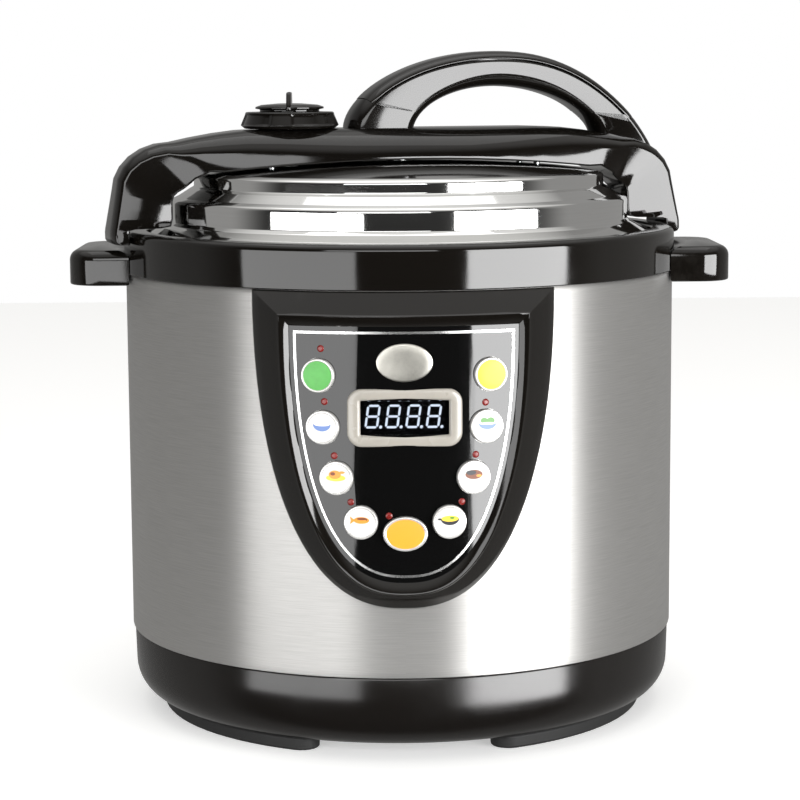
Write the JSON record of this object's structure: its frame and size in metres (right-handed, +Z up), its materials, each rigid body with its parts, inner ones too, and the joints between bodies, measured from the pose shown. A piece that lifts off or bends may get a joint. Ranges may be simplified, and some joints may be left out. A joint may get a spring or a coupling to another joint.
{
  "type": "electric pressure cooker",
  "caption": "Electric pressure cooker: brushed steel body, black base, bayonet lid with bridge handle and pressure valve, lift-out inner pot, curved front panel of press buttons.",
  "frame": {"origin": "on the table at the centre of the body, level with the feet", "axes": "+Z up along the body's axis, -Y towards the front with the control panel, +X to the right seen from the front"},
  "size_m": [0.333, 0.3028, 0.3344],
  "materials": {
    "black_gloss": "glossy warm black moulding",
    "base_black": "semi-gloss black moulding",
    "rubber_black": "matt black rubber",
    "brushed_steel": "horizontally brushed stainless",
    "polished_steel": "mirror-polished stainless",
    "zinc_steel": "zinc-plated steel",
    "cast_aluminium": "cast and turned aluminium",
    "pot_aluminium": "satin aluminium with a dark non-stick inside",
    "spring_steel": "drawn spring wire",
    "foil": "bright foil",
    "brass": "plain brass",
    "switch_plastic": "cream moulding",
    "circuit_green": "solder-masked board",
    "part_blue": "moulded electronic parts",
    "wire_red": "silicone-sleeved wire",
    "inlet_black": "matt black moulding",
    "label_black": "glossy black label face",
    "silver_print": "silver line",
    "badge_silver": "satin silver badge",
    "frame_grey": "silver-grey display surround",
    "smoke_window": "smoked clear window",
    "digit_white": "lit display segments",
    "lamp_red": "clear red lens",
    "membrane": "printed switch film",
    "silicone": "translucent white silicone",
    "cup_clear": "frosted clear plastic",
    "button_green": "glossy green cap with a silver rim",
    "button_yellow": "glossy yellow cap with a silver rim",
    "button_orange": "glossy orange cap with a silver rim",
    "button_white": "glossy white cap with a silver rim",
    "float_red": "red pin"
  },
  "bodies": {
    "housing": {"base": "base_black", "base_plate": "zinc_steel", "feet": "rubber_black", "base_screws": "zinc_steel", "steel_shell": "brushed_steel", "top_ring": "black_gloss", "side_handle_left": "black_gloss", "side_handle_right": "black_gloss", "outer_pot": "cast_aluminium", "heat_shield": "foil", "heating_plate": "cast_aluminium", "heater_terminals": "brass", "sensor_spring": "spring_steel", "pressure_switch": "switch_plastic", "power_board": "circuit_green", "board_parts": "part_blue", "wiring": "wire_red", "power_inlet": "inlet_black", "inlet_pins": "brass", "inlet_screws": "zinc_steel", "control_bezel": "black_gloss", "label_plate": "label_black", "border_trim": "silver_print", "badge": "badge_silver", "display_frame": "frame_grey", "display_window": "smoke_window", "display_digits": "digit_white", "display_module": "inlet_black", "indicator_lenses": "lamp_red", "switch_sheet": "membrane", "control_board": "circuit_green", "cup_bracket": "black_gloss"},
    "pot": {"inner_pot": "pot_aluminium"},
    "seal": {"sealing_ring": "silicone"},
    "lid": {"lid": "polished_steel", "seal_plate": "zinc_steel", "centre_post": "zinc_steel", "arm_cover": "black_gloss", "arm_screws": "zinc_steel", "handle_body": "black_gloss", "handle_cap": "black_gloss", "valve_turret": "black_gloss", "exhaust_pipe": "zinc_steel", "anti_block_cap": "zinc_steel", "float_bush": "silicone"},
    "valve_weight": {"valve_weight": "cast_aluminium"},
    "valve_knob": {"valve_knob": "black_gloss"},
    "float_pin": {"float_pin": "float_red"},
    "sensor": {"sensor_cap": "cast_aluminium"},
    "drip_cup": {"drip_cup": "cup_clear"},
    "button_green": {"button_green": "button_green"},
    "button_rice": {"button_rice": "button_white"},
    "button_chicken": {"button_chicken": "button_white"},
    "button_fish": {"button_fish": "button_white"},
    "button_soup": {"button_soup": "button_orange"},
    "button_casserole": {"button_casserole": "button_white"},
    "button_beef": {"button_beef": "button_white"},
    "button_vegetable": {"button_vegetable": "button_white"},
    "button_yellow": {"button_yellow": "button_yellow"}
  },
  "joints": [
    {"name": "pot_lift", "type": "slide", "parent": "housing", "child": "pot", "axis": [0, 0, 1], "range_m": [0, 0.17]},
    {"name": "lid_lift", "type": "slide", "parent": "pot", "child": "seal", "axis": [0, 0, 1], "range_m": [0, 0.2]},
    {"name": "lid_turn", "type": "hinge", "parent": "seal", "child": "lid", "pos_m": [0, 0, 0.25], "axis": [0, 0, 1], "range_deg": [-18, 0]},
    {"name": "valve_pull", "type": "slide", "parent": "lid", "child": "valve_weight", "axis": [0, 0, 1], "range_m": [0, 0.025]},
    {"name": "valve_turn", "type": "hinge", "parent": "valve_weight", "child": "valve_knob", "pos_m": [-0.05506, -0.01475, 0.3], "axis": [0, 0, 1], "range_deg": [0, 40]},
    {"name": "float_rise", "type": "slide", "parent": "lid", "child": "float_pin", "axis": [0, 0, 1], "range_m": [0, 0.006]},
    {"name": "sensor_press", "type": "slide", "parent": "housing", "child": "sensor", "axis": [0, 0, 1], "range_m": [-0.002, 0], "stiffness_N_per_m": 1500, "springref_m": 0.003, "deforming": ["sensor_spring"]},
    {"name": "drip_cup_pull", "type": "slide", "parent": "housing", "child": "drip_cup", "axis": [0, 1, 0], "range_m": [0, 0.04]},
    {"name": "press_green", "type": "slide", "parent": "housing", "child": "button_green", "axis": [0.2687, 0.9632, 0], "range_m": [0, 0.0008], "stiffness_N_per_m": 600, "springref_m": -0.0003},
    {"name": "press_rice", "type": "slide", "parent": "housing", "child": "button_rice", "axis": [0.2558, 0.9667, 0], "range_m": [0, 0.0008], "stiffness_N_per_m": 600, "springref_m": -0.0003},
    {"name": "press_chicken", "type": "slide", "parent": "housing", "child": "button_chicken", "axis": [0.2143, 0.9768, 0], "range_m": [0, 0.0008], "stiffness_N_per_m": 600, "springref_m": -0.0003},
    {"name": "press_fish", "type": "slide", "parent": "housing", "child": "button_fish", "axis": [0.1388, 0.9903, 0], "range_m": [0, 0.0008], "stiffness_N_per_m": 600, "springref_m": -0.0003},
    {"name": "press_soup", "type": "slide", "parent": "housing", "child": "button_soup", "axis": [0, 1, 0], "range_m": [0, 0.0008], "stiffness_N_per_m": 600, "springref_m": -0.0003},
    {"name": "press_casserole", "type": "slide", "parent": "housing", "child": "button_casserole", "axis": [-0.1381, 0.9904, 0], "range_m": [0, 0.0008], "stiffness_N_per_m": 600, "springref_m": -0.0003},
    {"name": "press_beef", "type": "slide", "parent": "housing", "child": "button_beef", "axis": [-0.2143, 0.9768, 0], "range_m": [0, 0.0008], "stiffness_N_per_m": 600, "springref_m": -0.0003},
    {"name": "press_vegetable", "type": "slide", "parent": "housing", "child": "button_vegetable", "axis": [-0.2558, 0.9667, 0], "range_m": [0, 0.0008], "stiffness_N_per_m": 600, "springref_m": -0.0003},
    {"name": "press_yellow", "type": "slide", "parent": "housing", "child": "button_yellow", "axis": [-0.2687, 0.9632, 0], "range_m": [0, 0.0008], "stiffness_N_per_m": 600, "springref_m": -0.0003}
  ]
}
